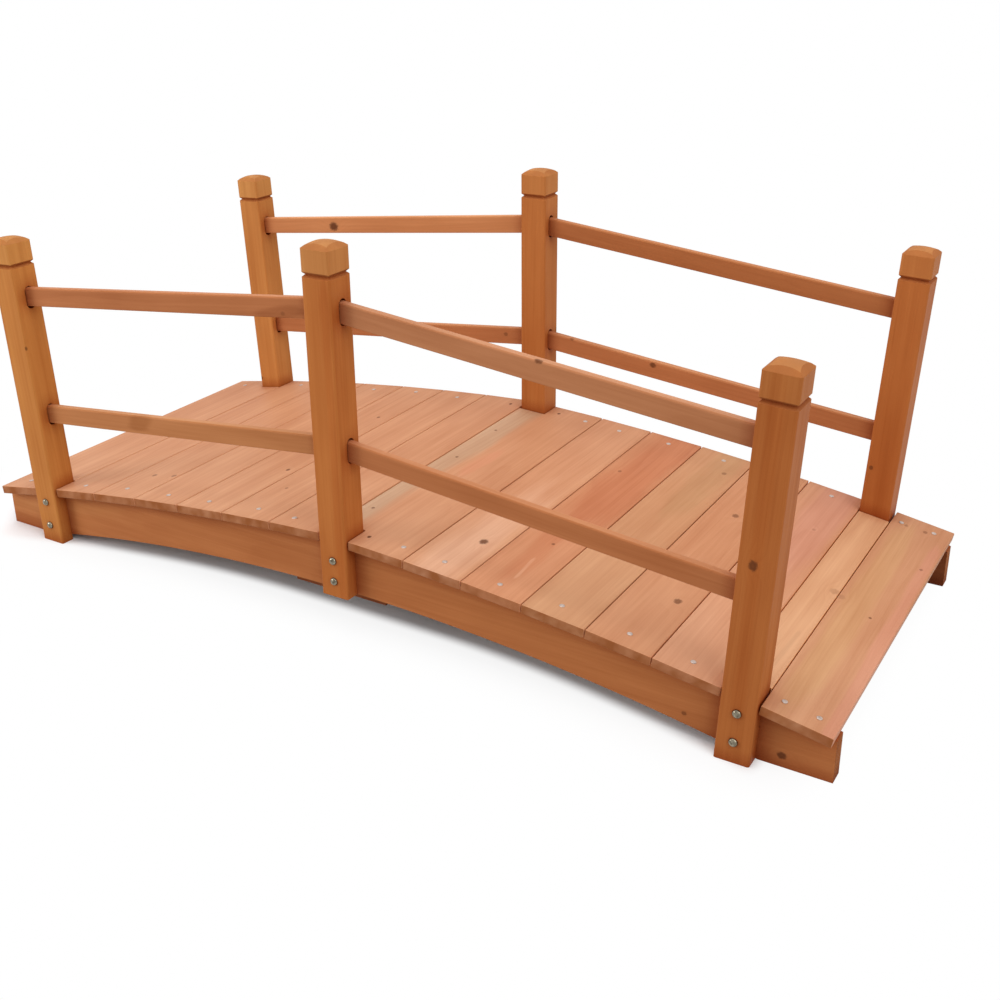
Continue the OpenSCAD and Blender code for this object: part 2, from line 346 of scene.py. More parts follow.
# %% Edges
# Widths of the rounded edges, in millimetres
ARRIS = {"deck": 1.1, "beam": 1.2, "splice": 1.0, "post": 1.8, "rail": 1.4}
SOFTENING = {
    "WELD": {"merge_threshold": 0.005 * MM},
    "DECIMATE": {"decimate_type": "DISSOLVE", "angle_limit": math.radians(0.4)},
    "BEVEL": {"segments": 3, "limit_method": "ANGLE", "angle_limit": math.radians(22),
              "use_clamp_overlap": True},
    "WEIGHTED_NORMAL": {"mode": "FACE_AREA", "weight": 100, "keep_sharp": False},
}


def kind_of(name):
    """The kind of a piece, from its name."""
    return next(kind for kind in ARRIS if kind in name)


def soften_edges(piece, width):
    """Welds, joins flat faces and bevels the edges of a CAD solid, all as live modifiers."""
    for kind, settings in SOFTENING.items():
        modifier = piece.modifiers.new(kind, kind)
        for key, value in settings.items():
            setattr(modifier, key, value)
    piece.modifiers["BEVEL"].width = width * MM


for piece_name, wood_piece in wood_pieces.items():
    soften_edges(wood_piece, ARRIS[kind_of(piece_name)])
print("edges softened by", ARRIS, "mm")

# %% [markdown]
# ## Stained softwood
# Wood is a solid pattern, not a picture stuck on a surface. Each piece is cut from a log whose growth rings
# are cylinders round a pith, so the pattern is the distance from such a line, bent by slow noise. It gives
# long flames on a face and arcs on an end, and the two always meet at the edge. Fine stretched noise gives
# the fibres, and slow blotches the uneven stain. Sizes are in millimetres, because a Mapping node turns the
# object's coordinates into the piece's own.
#
# A knot is where a branch left the trunk. It shows as a dark oval, and the rings bend round it. One group of
# nodes serves every knot, with its place, radius and strength as inputs.

# %% Knots
KNOT_REACH = 2.0
KNOT_SQUASH = (0.80, 1.0, 1.0)
KNOT_LUMPS, KNOT_WOBBLE = 0.3, 0.7
# Over which shares of the radius the body ends, and the rim begins and ends
BODY_ENDS, RIM_BEGINS, RIM_ENDS = (0.35, 1.3), (0.1, 0.7), (0.75, 1.1)


def knot_group():
    """How a branch shows: it pushes the rings aside by a bell curve and leaves an oval of its own.
    With d the offset from the branch over its radius, push is reach * radius * exp(-d*d / 6), the brown
    body is where d is under 1, and the dark rim is a band just inside that edge."""
    tree, given = new_group("knot", {"Vector": ("Point", "Centre"), "Float": ("Radius", "Strength")},
                            {"Float": ("Push", "Body", "Rim")})
    rough = add_node(tree, "ShaderNodeTexNoise",
                     {"Vector": given["Point"], "Scale": KNOT_LUMPS, "Detail": 2.0})
    offset = vector_sums(tree, "SUBTRACT", given["Point"], given["Centre"])
    length = vector_sums(tree, "LENGTH", vector_sums(tree, "MULTIPLY", offset, KNOT_SQUASH))
    share = sums(tree, "DIVIDE", length, given["Radius"])
    wobble = sums(tree, "MULTIPLY_ADD", sums(tree, "SUBTRACT", rough.outputs[0], 0.5), KNOT_WOBBLE, share)
    bell = sums(tree, "POWER", math.e, sums(tree, "DIVIDE", sums(tree, "MULTIPLY", share, share), -6.0))
    push = sums(tree, "MULTIPLY", sums(tree, "MULTIPLY", bell, given["Radius"]), KNOT_REACH)
    body = ease(tree, wobble, *BODY_ENDS, 1.0, 0.0)
    rim = sums(tree, "MULTIPLY", ease(tree, wobble, *RIM_BEGINS), ease(tree, wobble, *RIM_ENDS, 1.0, 0.0))
    add_node(tree, "NodeGroupOutput", {"Push": push, "Body": sums(tree, "MULTIPLY", body, given["Strength"]),
                                       "Rim": sums(tree, "MULTIPLY", rim, given["Strength"])})
    return tree


KNOT_GROUP = knot_group()
print("knot group has", len(KNOT_GROUP.nodes), "nodes")

# %% [markdown]
# ## One group of nodes for all the wood
# The group mixes a pale and a deep colour by one shade, which adds up rings, fibres, streaks and blotches.
# Then come the knots, and the end grain, which drinks more stain. Tops of rails and posts get painted light.
# Corners, which an Ambient Occlusion node finds, get painted shade, and the group also tells how much.

# %% Growth rings, fibres and stain
COLOUR_LABELS = ("Pale", "Deep", "End")
GRAIN_LABELS = ("End Share", "Ring Width", "Ring Depth", "Fibre Depth", "Stain Depth")
KNOT_COLOURS = {"Body": (0.85, (0.130, 0.038, 0.013)), "Rim": (0.35, (0.060, 0.020, 0.010))}
# Lengths of the noise's lumps in millimetres along and across the grain, and detail
NOISES = {"sway": (320, 80, 1.0), "ripple": (90, 12), "fade": (200, 30), "fibre": (260, 1.4),
          "strand": (110, 4.0, 1.0), "streak": (420, 13), "band": (260, 40), "blotch": (150, 60),
          "patch": (25, 25)}
# How far rings sway and ripple, in millimetres, and where in a ring's width the late edge breaks off
SWAY, RIPPLE, LATE_EDGE = 22.0, 1.6, (0.9, 1.0)
# Cosines from and to which a face counts more and more as an end, and as one that looks up
ENDS, UPWARD = (0.55, 0.85), (0.82, 0.97)
# Painted shade in corners: how far an Ambient Occlusion node looks, and how strongly its darkening counts
PAINTED_SHADE_REACH, PAINTED_SHADE_STRENGTH = 24 * MM, 1.5
COMMON_TONE, RING_LEVEL, RING_DIP = 0.45, 0.2, -0.35
FADE_LEVEL, PATCHINESS = 0.6, 1.4
ROUGHNESS, FIBRES_ROUGHER, ENDS_ROUGHER = 0.50, 0.12, 0.2


def stretched_noise(tree, point, along, across, detail=2.0):
    """Noise from -0.5 to 0.5 whose lumps have these lengths in millimetres along and across the grain."""
    scaled = vector_sums(tree, "MULTIPLY", point, (1 / along, 1 / across, 1 / across))
    noise = add_node(tree, "ShaderNodeTexNoise", {"Vector": scaled, "Scale": 1.0, "Detail": detail})
    return sums(tree, "SUBTRACT", noise.outputs[0], 0.5)


def ring_distance(tree, given, noise):
    """Distance from the pith line, with the log's taper along the grain, slow sway and what knots push."""
    part = parts_of(tree, vector_sums(tree, "SUBTRACT", given["Point"], given["Pith"]))
    flat = add_node(tree, "ShaderNodeCombineXYZ", {1: part[1], 2: part[2]})
    radius = vector_sums(tree, "LENGTH", flat.outputs[0])
    tapered = sums(tree, "MULTIPLY_ADD", part[0], given["Taper"], radius)
    swayed = sums(tree, "MULTIPLY_ADD", noise["sway"], SWAY, tapered)
    return sums(tree, "ADD", sums(tree, "MULTIPLY_ADD", noise["ripple"], RIPPLE, swayed), given["Push"])


def stained_wood_group():
    """The wood of every piece. A ring is pale early wood that darkens to a thin late edge: a saw-tooth of
    the ring distance over the ring width, raised to the third power."""
    tree, given = new_group("stained softwood", {
        "Vector": ("Point", "Pith", "Grain"),
        "Float": ("Taper", "Push", "Body", "Rim", *GRAIN_LABELS),
        "Color": (*COLOUR_LABELS, "Tint", "Top", "Painted Corner Shade")},
        {"Color": ("Colour",), "Float": ("Roughness", "Height", "Painted Shade")})
    noise = {name: stretched_noise(tree, given["Point"], *lengths) for name, lengths in NOISES.items()}

    distance = ring_distance(tree, given, noise)
    tooth = sums(tree, "FRACT", sums(tree, "DIVIDE", distance, given["Ring Width"]))
    late = sums(tree, "MULTIPLY", sums(tree, "POWER", tooth, 3.0), ease(tree, tooth, *LATE_EDGE, 1.0, 0.0))
    fade = sums(tree, "ADD", noise["fade"], FADE_LEVEL, clamp=True)
    ring = sums(tree, "MULTIPLY", sums(tree, "SUBTRACT", late, RING_LEVEL), fade)
    fibre = sums(tree, "ADD", noise["fibre"], noise["strand"])
    stain = sums(tree, "ADD", sums(tree, "ADD", noise["streak"], noise["band"]), noise["blotch"])

    shade = sums(tree, "MULTIPLY_ADD", ring, given["Ring Depth"], COMMON_TONE)
    shade = sums(tree, "MULTIPLY_ADD", fibre, given["Fibre Depth"], shade)
    shade = sums(tree, "MULTIPLY_ADD", stain, given["Stain Depth"], shade, clamp=True)
    colour = blend(tree, shade, given["Pale"], given["Deep"])
    colour = tinted(tree, 1.0, colour, given["Tint"])
    for label, (share, brown) in KNOT_COLOURS.items():
        colour = blend(tree, sums(tree, "MULTIPLY", given[label], share), colour, brown)

    facing = facing_of(tree)
    along = vector_sums(tree, "DOT_PRODUCT", facing, given["Grain"])
    end_face = ease(tree, sums(tree, "ABSOLUTE", along), *ENDS)
    patchy = sums(tree, "MULTIPLY_ADD", noise["patch"], PATCHINESS, given["End Share"],
                  clamp=True)
    colour = blend(tree, sums(tree, "MULTIPLY", end_face, patchy), colour, given["End"])
    # Painted light from above: faces that look up are made paler
    colour = tinted(tree, ease(tree, parts_of(tree, facing)[2], *UPWARD), colour, given["Top"])

    # Painted shade: the colour darkens where an Ambient Occlusion node finds a corner
    open_air = add_node(tree, "ShaderNodeAmbientOcclusion", {"Distance": PAINTED_SHADE_REACH}, samples=2)
    painted_shade = sums(tree, "MULTIPLY", sums(tree, "SUBTRACT", 1.0, open_air.outputs["AO"]),
                    PAINTED_SHADE_STRENGTH, clamp=True)
    colour = tinted(tree, painted_shade, colour, given["Painted Corner Shade"])

    rough = sums(tree, "MULTIPLY_ADD", fibre, FIBRES_ROUGHER, ROUGHNESS)
    add_node(tree, "NodeGroupOutput", {
        "Colour": colour, "Roughness": sums(tree, "MULTIPLY_ADD", end_face, ENDS_ROUGHER, rough),
        "Height": sums(tree, "MULTIPLY_ADD", ring, RING_DIP, fibre), "Painted Shade": painted_shade})
    return tree


WOOD_GROUP = stained_wood_group()
print("wood group has", len(WOOD_GROUP.nodes), "nodes")

# %% [markdown]
# ## Where the nails go
# The boards are nailed down to both beams, once near the middle, and the wide ones twice. Only the narrow
# one has no nails, because it is wedged between the right posts and doesn't reach over the beams. The places
# follow from the boards and the beams, and each is a little off, as a hammer leaves it. A few nails were
# driven deep and show as small dark holes. These belong to the wood's colour, so the places come before it.

# %% Places of the nails
FRONT, BACK = -1, 1
# Steps from the board's middle line, in millimetres towards the right end, at the front and at the back
NAIL_STEPS = {
    "deck_board_1": {FRONT: (-30, 30), BACK: (-30, 30)},
    "deck_board_7": {FRONT: (-20,), BACK: (25,)},
    "deck_board_8": {FRONT: (-2, 50), BACK: (-2, 50)},
    "deck_board_14": {FRONT: (), BACK: ()},
    "deck_board_15": {FRONT: (-27, 20), BACK: (-27, 20)},
}
# How far a nail is off, in millimetres, and by how much the way in which it is off turns from board to board
# and from nail to nail, in radians
NAIL_OFF, BOARD_TURN, NAIL_TURN = 3.0, 2.3, 1.7
# A deep nail is painted as a small dark hole: painted shade of the recess over its sunk head
# Deep ones: board, side, number of the nail
SUNK_NAILS = [("deck_board_8", FRONT, 0), ("deck_board_8", BACK, 0), ("deck_board_7", BACK, 0)]
HOLE_R = 2.8


def nail_places(name, way):
    """Places and the common axis of a board's nails over the beams on one side."""
    across, through = AXES[name][:, 1], AXES[name][:, 2]
    up = through if through[2] > 0 else -through
    lengthwise = across if across[0] > 0 else -across
    beam_low, beam_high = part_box("left_front_beam" if way == FRONT else "left_back_beam")
    line = (beam_low.y + beam_high.y) / 2
    own = OWN_VERTICES[name]
    top = own[:, 2].max() if through[2] > 0 else -own[:, 2].min()
    middle = CENTRES[name] + up * top * MM + np.array([0, line - CENTRES[name][1], 0])
    steps = np.array(NAIL_STEPS.get(name, {}).get(way, (0,)), float)
    turns = BOARD_TURN * int(name.split("_")[-1]) + way + NAIL_TURN * np.arange(len(steps))
    lengths = (steps + NAIL_OFF * np.sin(turns)) * MM
    widths = NAIL_OFF * np.cos(turns) * MM
    return middle + lengths[:, None] * lengthwise + widths[:, None] * np.array([0, 1.0, 0]), up


print("nails of a common board at", nail_places("deck_board_3", FRONT)[0][0].round(3), "m")

# %% [markdown]
# ## One stain, many boards
# The whole kit was dipped in one stain, yet boards from different logs take it differently. So all pieces
# share the group above, each kind of piece has its own colours, and single pieces have a tint of their own.
# The deck's paler colours are partly its own tone and partly a painted sheen of light from above. The splice
# boards' dark colours are painted shade, and the tints of posts, rails and a beam paint how each is lit.

# %% Tones
# kind: pale, deep and end-grain colour
WOOD_COLOURS_WITH_PAINTED_LIGHT = {
    # The deck's colours: partly its own paler tone, partly a painted sheen of light from above
    "deck": ((0.620, 0.306, 0.165), (0.430, 0.166, 0.076), (0.300, 0.097, 0.031)),
    "beam": ((0.500, 0.180, 0.061), (0.336, 0.098, 0.028), (0.255, 0.074, 0.017)),
    # The splice boards' colours are darkened as painted shade, for the shade that they sit in under the deck
    "splice": ((0.270, 0.082, 0.030), (0.180, 0.048, 0.015), (0.160, 0.043, 0.012)),
    "post": ((0.520, 0.170, 0.050), (0.340, 0.083, 0.019), (0.350, 0.122, 0.038)),
    "rail": ((0.500, 0.188, 0.074), (0.340, 0.107, 0.036), (0.300, 0.104, 0.034)),
}
# kind: share of the end-grain colour, ring width in millimetres, depth of the rings, fibres and stain
WOOD_GRAIN = {
    "deck": (0.84, 8.0, 0.22, 0.30, 0.55),
    "beam": (0.80, 9.0, 0.20, 0.30, 0.60),
    "splice": (0.80, 9.0, 0.20, 0.30, 0.60),
    "post": (0.80, 7.0, 0.20, 0.25, 0.60),
    "rail": (0.80, 7.0, 0.20, 0.28, 0.60),
}
PLAIN = (1.0, 1.0, 1.0)
# Factors on the colour: painted light where a kind faces up, painted shade in the corners of each kind,
# and for single pieces
PAINTED_TOP_LIGHT = {"rail": (1.18, 1.36, 1.62), "post": (1.17, 1.35, 1.50)}
PAINTED_CORNER_SHADE = {"deck": (0.88, 0.72, 0.62), "post": (0.60, 0.28, 0.17)}
OTHER_PAINTED_CORNER_SHADE = (0.56, 0.27, 0.17)
# Tints of single pieces. The deck boards' are their own tone. Those of the posts, rails and left front beam
# are painted light and shade: each piece is made lighter or darker as the light falls on it.
TONES_AND_PAINTED_LIGHT = {
    "deck_board_9": (1.03, 1.04, 1.06), "deck_board_10": (0.99, 0.90, 0.86),
    "deck_board_11": (0.98, 1.02, 0.99), "deck_board_12": (0.97, 0.93, 0.90),
    "deck_board_13": (1.02, 1.02, 1.07), "deck_board_14": (1.09, 1.20, 1.22),
    "deck_board_15": (0.96, 0.97, 0.97), "left_back_post": (1.15, 1.48, 1.42),
    "left_front_post": (1.11, 1.36, 1.18), "middle_back_post": (1.04, 1.17, 1.12),
    "middle_front_post": (1.04, 1.12, 0.98), "right_back_post": (0.98, 1.00, 0.92),
    "right_front_post": (0.91, 0.93, 0.84), "left_back_top_rail": (1.23, 1.37, 1.42),
    "right_front_top_rail": (1.04, 1.18, 1.38), "left_front_low_rail": (1.04, 1.14, 1.12),
    "right_back_top_rail": (0.92, 0.88, 0.80), "left_front_beam": (1.05, 1.08, 1.11),
}
print(len(TONES_AND_PAINTED_LIGHT), "pieces have their own tint")

# %% [markdown]
# ## Where the knots are
# A knot whose place is given tells more than a random one, so each stands at a chosen place. A place on a
# board is given from above and has no height.

# %% Places of the knots
# Piece: place in the frame in millimetres, radius, strength
KNOTS = {
    "right_front_post": [((593, -310, 265), 5.5, 1.0)],
    "left_front_post": [((-571, -310, 332), 3.0, 0.9)],
    "left_back_post": [((-609, 250, 106), 3.0, 0.8)],
    "middle_back_post": [((30, 302, 288), 3.5, 0.7)],
    "left_back_top_rail": [((-419, 270, 424), 8.0, 1.1)],
    "left_back_low_rail": [((-60, 270, 275), 3.5, 0.6)],
    "right_back_low_rail": [((67, 270, 286), 3.5, 0.6), ((214, 270, 264), 4.5, 0.9)],
    "right_front_top_rail": [((311, -290, 453), 5.0, 1.0)],
    "right_back_post": [((577, 250, 167), 3.0, 0.8)],
    "left_front_top_rail": [((-73, -290, 455), 3.0, 0.35)],
    "right_front_beam": [((638, -290, 16), 5.0, 1.0), ((514, -290, 32), 3.0, 0.7)],
    "deck_board_9": [((175, -191), 6.0, 1.0)],
    "deck_board_10": [((255, -138), 2.5, 0.8), ((228, 129), 3.0, 0.5)],
    "deck_board_8": [((-8, -196), 2.5, 0.8), ((-4, 23), 2.5, 0.8), ((-8, 150), 2.5, 0.7)],
    "deck_board_11": [((361, 229), 4.0, 0.5)],
    "deck_board_12": [((426, 109), 5.0, 0.7), ((451, -163), 5.5, 0.8)],
    "deck_board_13": [((531, 151), 3.0, 0.25)],
    "deck_board_15": [((663, -23), 2.2, 0.8), ((664, 268), 3.5, 0.5), ((636, 267), 3.0, 0.4),
                      ((686, 153), 2.5, 0.6), ((618, -1), 5.0, 0.22)],
    "deck_board_14": [((606, 6), 6.0, 0.25)],
    "deck_board_3": [((-433, -209), 4.0, 0.6), ((-396, -203), 4.0, 0.6)],
    "deck_board_5": [((-224, -126), 3.5, 0.9), ((-235, 133), 3.0, 0.9)],
    "deck_board_6": [((-175, -189), 2.5, 0.6)],
    "deck_board_7": [((-85, -273), 1.5, 0.9)],
    "deck_board_1": [((-595, -4), 4.0, 0.6), ((-667, 14), 4.0, 0.5)],
}


def on_piece(name, place):
    """A place in the frame, in millimetres, in the piece's own axes. One without a height is brought down
    onto the board's upper face, and every place is then kept within the piece."""
    own = OWN_VERTICES[name]
    here = in_own_frame(name, np.array((*place, 0)[:3]) * MM)
    if len(place) == 2:
        upward = AXES[name][2]
        top = own[:, 2].max() if upward[2] > 0 else own[:, 2].min()
        here = here - upward * (here[2] - top) / upward[2]
    return np.clip(here, own.min(axis=0), own.max(axis=0))


def knots_of(tree, name, point):
    """The push, body and rim of all knots of a piece, the holes of its sunk nails among them."""
    marks = [(on_piece(name, place), radius, strength) for place, radius, strength in KNOTS.get(name, ())]
    marks += [(in_own_frame(name, nail_places(name, way)[0][number]), HOLE_R, 1.2)
              for board, way, number in SUNK_NAILS if board == name]
    push, body, rim = 0.0, 0.0, 0.0
    for centre, radius, strength in marks:
        knot = add_node(tree, "ShaderNodeGroup", {
            "Point": point, "Centre": centre, "Radius": radius, "Strength": strength}, node_tree=KNOT_GROUP)
        push = sums(tree, "ADD", knot.outputs["Push"], push)
        body = sums(tree, "MAXIMUM", knot.outputs["Body"], body)
        rim = sums(tree, "MAXIMUM", knot.outputs["Rim"], rim)
    return push, body, rim


print(sum(len(marks) for marks in KNOTS.values()), "knots and", len(SUNK_NAILS), "sunk nails")

# %% [markdown]
# ## Streaks
# Along a board run streaks of another colour: sapwood at one edge, a band of heartwood, a scratch. Each is a
# line between two places, with a soft and wavy edge, that multiplies the colour. A line with two ends is
# easier to place than a noise is to steer.

# %% Streaks
# Piece: start and end in the frame in millimetres, half width, factor on the colour
STREAKS = {
    "left_front_beam": [((-700, -283, 70), (-640, -283, 80), 46, (1.10, 1.22, 1.26))],
    "deck_board_8": [((-16, -258), (-2, 262), 24, (0.93, 1.18, 1.36)),
                     ((36, 0), (40, 40), 11, (1.03, 0.95, 0.97))],
    "deck_board_9": [((160, -290), (165, -110), 34, (1.11, 1.22, 1.36))],
    "deck_board_10": [((254, 20), (264, 290), 38, (0.94, 0.82, 0.78)),
                      ((248, -200), (240, -110), 18, (0.95, 0.86, 0.82)),
                      ((257, -240), (253, -196), 3, (1.12, 1.30, 1.45))],
    "deck_board_11": [((348, 120), (352, 290), 26, (0.93, 0.97, 0.94))],
    "deck_board_13": [((530, 110), (530, 300), 36, (1.00, 0.97, 1.10))],
    "deck_board_14": [((596, -240), (600, -130), 3, (0.93, 0.93, 0.93))],
    "deck_board_15": [((694, -290), (690, 200), 10, (1.06, 1.00, 1.14)),
                      ((640, -210), (642, 200), 20, (1.01, 1.08, 1.00))],
    "right_front_post": [((606, -304, 470), (588, -304, 90), 9, (0.96, 0.90, 0.84))],
    "middle_front_post": [((13, -304, 480), (13, -304, 60), 8, (0.94, 0.86, 0.80))],
    "left_front_top_rail": [((-90, -286, 450), (-60, -286, 460), 8, (0.82, 0.76, 0.72))],
    "left_front_low_rail": [((-372, -286, 236), (-364, -286, 250), 6, (0.82, 0.76, 0.68))],
}
STREAK_STRETCH = np.array([0.25, 1.0, 0.0])
STREAK_WAVES, STREAK_WAVINESS, STREAK_ENDS = (130, 16), 1.2, (0.5, 1.25)


def streak_group():
    """How far a place lies in a streak. With d its distance from the line between the streak's two places,
    the streak fades out round d = width. Lengths along the grain count for a quarter, so that the ends run
    out slowly."""
    tree, given = new_group("streak", {"Vector": ("Point", "Start", "Way"), "Float": ("Width",)},
                            {"Float": ("Share",)})
    squashed = vector_sums(tree, "MULTIPLY", given["Point"], STREAK_STRETCH)
    offset = vector_sums(tree, "SUBTRACT", squashed, given["Start"])
    reach = vector_sums(tree, "DOT_PRODUCT", given["Way"], given["Way"])
    gone = vector_sums(tree, "DOT_PRODUCT", offset, given["Way"])
    along = sums(tree, "DIVIDE", gone, reach, clamp=True)
    nearest = add_node(tree, "ShaderNodeVectorMath", {0: given["Way"], "Scale": along}, operation="SCALE")
    apart = vector_sums(tree, "DISTANCE", offset, nearest.outputs[0])
    share = sums(tree, "DIVIDE", apart, given["Width"])
    waves = stretched_noise(tree, given["Point"], *STREAK_WAVES)
    wavy = sums(tree, "MULTIPLY_ADD", waves, STREAK_WAVINESS, share)
    add_node(tree, "NodeGroupOutput", {"Share": ease(tree, wavy, *STREAK_ENDS, 1.0, 0.0)})
    return tree


STREAK_GROUP = streak_group()
print("streaks on", len(STREAKS), "pieces")

# %% [markdown]
# ## Painted light on the boards' front ends, and paler caps
# Painted light makes the boards palest towards their front ends, and the posts are made paler on their
# caps. Both are one more factor on the colour, under the streaks.

# %% Painted light on board fronts, paler caps, and all of a piece's tint
# Painted light at a board's front end: factors on the colour, and where it begins and is full, as y in metres
PAINTED_LIGHT_AT_BOARD_FRONT = (1.07, 1.13, 1.18)
FRONT_LIGHT_FROM, FRONT_LIGHT_FULL = -0.02, -0.20
PALER_CAP = (1.06, 1.18, 1.28)
PALER_CAP_MORE = {"middle_front_post": (1.11, 1.40, 1.75)}
# From a post's top to the middle of its groove, and half of the seam there, in millimetres
CAP_LENGTH, CAP_SEAM = 41.5, 1


def painted_lighter(tree, name, point, tint):
    """A board's tint with painted light at its front end, or a post's made paler on its cap, by a smooth
    step.
    """
    kind = kind_of(name)
    if kind == "deck":
        share = ease(tree, parts_of(tree, own_place(tree))[1], FRONT_LIGHT_FULL, FRONT_LIGHT_FROM, 1.0, 0.0)
        return tinted(tree, share, tint, PAINTED_LIGHT_AT_BOARD_FRONT)
    if kind == "post":
        upward = float(np.sign(AXES[name][2, 0]))
        top = (OWN_VERTICES[name][:, 0] * upward).max()
        height = sums(tree, "MULTIPLY", parts_of(tree, point)[0], upward)
        groove = float(top) - CAP_LENGTH
        share = ease(tree, height, groove - CAP_SEAM, groove + CAP_SEAM)
        return tinted(tree, share, tint, PALER_CAP_MORE.get(name, PALER_CAP))
    return tint


def tint_of(tree, name, point):
    """The factor on a piece's colour: its tint, painted light on a board's front or a post's paler cap, then
    its streaks.
    """
    tint = painted_lighter(tree, name, point, TONES_AND_PAINTED_LIGHT.get(name, PLAIN))
    for start, end, width, factor in STREAKS.get(name, ()):
        first, last = (on_piece(name, place) * STREAK_STRETCH for place in (start, end))
        streak = add_node(tree, "ShaderNodeGroup", {
            "Point": point, "Start": first, "Way": last - first, "Width": width}, node_tree=STREAK_GROUP)
        tint = tinted(tree, streak.outputs[0], tint, factor)
    return tint


print("the caps of", sum(name.endswith("post") for name in wood_pieces), "posts are bleached")

# %% [markdown]
# ## Painted shade on inner sides, painted light in the gaps
# Two kinds of side look unlike the rest. The inner sides of beams and splice boards get painted shade, and
# the sides of boards in the gaps get painted light. The way that a place faces tells the first kind. The
# second also needs the share of painted shade in corners, or the open side of the last board would turn pale
# too.

# %% Inner sides and gaps
# Factors on the colour, painted shade on inner sides and painted light in the gaps, the last one at the last
# boards
PAINTED_INNER_SHADE = {"beam": (0.52, 0.42, 0.44), "splice": (0.75, 0.68, 0.70)}
PAINTED_GAP_LIGHT = (1.30, 1.55, 1.70)
STRONGEST_PAINTED_GAP_LIGHT = (1.65, 2.05, 1.95)
BOARDS_WITH_STRONGEST_GAP_LIGHT = ("deck_board_13", "deck_board_14", "deck_board_15")
# Cosines from and to which a face counts more and more as one that looks inwards, or along the bridge
INWARD, ALONG_BRIDGE = (0.4, 0.8), (0.3, 0.7)


def with_painted_sides(tree, name, colour, painted_shade):
    """The colour of a piece's wood with painted shade on its inner side, or painted light on its sides in the
    gaps.
    """
    kind = kind_of(name)
    if kind in PAINTED_INNER_SHADE:
        inward = sums(tree, "MULTIPLY", parts_of(tree, facing_of(tree))[1],
                      -float(np.sign(CENTRES[name][1])))
        return tinted(tree, ease(tree, inward, *INWARD), colour, PAINTED_INNER_SHADE[kind])
    if kind == "deck":
        sideways = sums(tree, "ABSOLUTE", vector_sums(tree, "DOT_PRODUCT", facing_of(tree), AXES[name][:, 1]))
        painted_gap_light = sums(tree, "MULTIPLY", ease(tree, sideways, *ALONG_BRIDGE), painted_shade)
        return tinted(tree, painted_gap_light, colour, STRONGEST_PAINTED_GAP_LIGHT if name in BOARDS_WITH_STRONGEST_GAP_LIGHT else PAINTED_GAP_LIGHT)
    return colour


print("darker inner sides on", sum(kind_of(name) in PAINTED_INNER_SHADE for name in wood_pieces), "pieces")

# %% [markdown]
# ## The wood of one piece
# Each piece gets a short material of its own. It turns the coordinates into the piece's axes, puts the pith
# somewhere below or beside the piece, and gives the group its colours, knots and streaks. The satin stain is
# only a little glossy, and the fibres stand up enough for a fine bump.

# %% Wood of one piece
WOOD_GLOSS = 0.05
BUMP_STRENGTH, BUMP_HEIGHT = 0.35, 0.3 * MM
# How far apart the pieces lay in the log, how far its pith is beside a piece and below it, by how much that
# depth varies, in millimetres, and the strongest taper
LOG_STEP, PITH_BESIDE, PITH_BELOW, PITH_VARIES, TAPER = 431.0, 40, 46, 26, 0.03
# Turns from piece to piece, in radians, that spread these
SIDE_TURN, DEPTH_TURN, TAPER_TURN = 2.4, 3.9, 1.7


def wood_material(name):
    """The stained wood of one piece, in its own axes."""
    kind = kind_of(name)
    number = sorted(wood_pieces).index(name)
    material, tree, shader = new_tree(name + " wood")
    turn = Matrix(AXES[name]).to_euler()
    point = add_node(tree, "ShaderNodeMapping", {
        "Vector": own_place(tree), "Location": CENTRES[name], "Rotation": turn, "Scale": (MM, MM, MM)},
        vector_type="TEXTURE").outputs[0]
    push, body, rim = knots_of(tree, name, point)
    pith = (LOG_STEP * number, PITH_BESIDE * math.sin(SIDE_TURN * number),
            -PITH_BELOW - PITH_VARIES * math.cos(DEPTH_TURN * number))
    wood = add_node(tree, "ShaderNodeGroup", {
        "Point": vector_sums(tree, "ADD", point, (LOG_STEP * number, 0, 0)), "Pith": pith,
        "Grain": AXES[name][:, 0], "Taper": TAPER * math.sin(TAPER_TURN * number),
        "Push": push, "Body": body, "Rim": rim, **dict(zip(GRAIN_LABELS, WOOD_GRAIN[kind])),
        **dict(zip(COLOUR_LABELS, WOOD_COLOURS_WITH_PAINTED_LIGHT[kind])), "Tint": tint_of(tree, name, point),
        "Top": PAINTED_TOP_LIGHT.get(kind, PLAIN), "Painted Corner Shade": PAINTED_CORNER_SHADE.get(kind, OTHER_PAINTED_CORNER_SHADE)},
        node_tree=WOOD_GROUP).outputs
    bump = add_node(tree, "ShaderNodeBump", {"Height": wood["Height"], "Strength": BUMP_STRENGTH,
                                             "Distance": BUMP_HEIGHT})
    colour = with_painted_sides(tree, name, wood["Colour"], wood["Painted Shade"])
    tree.links.new(colour, shader.inputs["Base Color"])
    tree.links.new(wood["Roughness"], shader.inputs["Roughness"])
    tree.links.new(bump.outputs["Normal"], shader.inputs["Normal"])
    shader.inputs["Specular IOR Level"].default_value = WOOD_GLOSS
    return material


for piece_name, wood_piece in wood_pieces.items():
    wood_piece.data.materials.clear()
    wood_piece.data.materials.append(wood_material(piece_name))
print("stained", len(wood_pieces), "pieces")

# %% [markdown]
# ## Bolts
# Two bolts hold each post on its beam. Outside shows a domed head, inside a washer, a nut and the end of the
# thread. The bolts are placed by the holes in the solids: on a post's outer face, only points of the two
# holes lie near its middle line. Turned pieces are surfaces of two parameters, the step along a profile and
# the angle round an axis.

# %% Turned shapes
ROUND_STEPS = 28


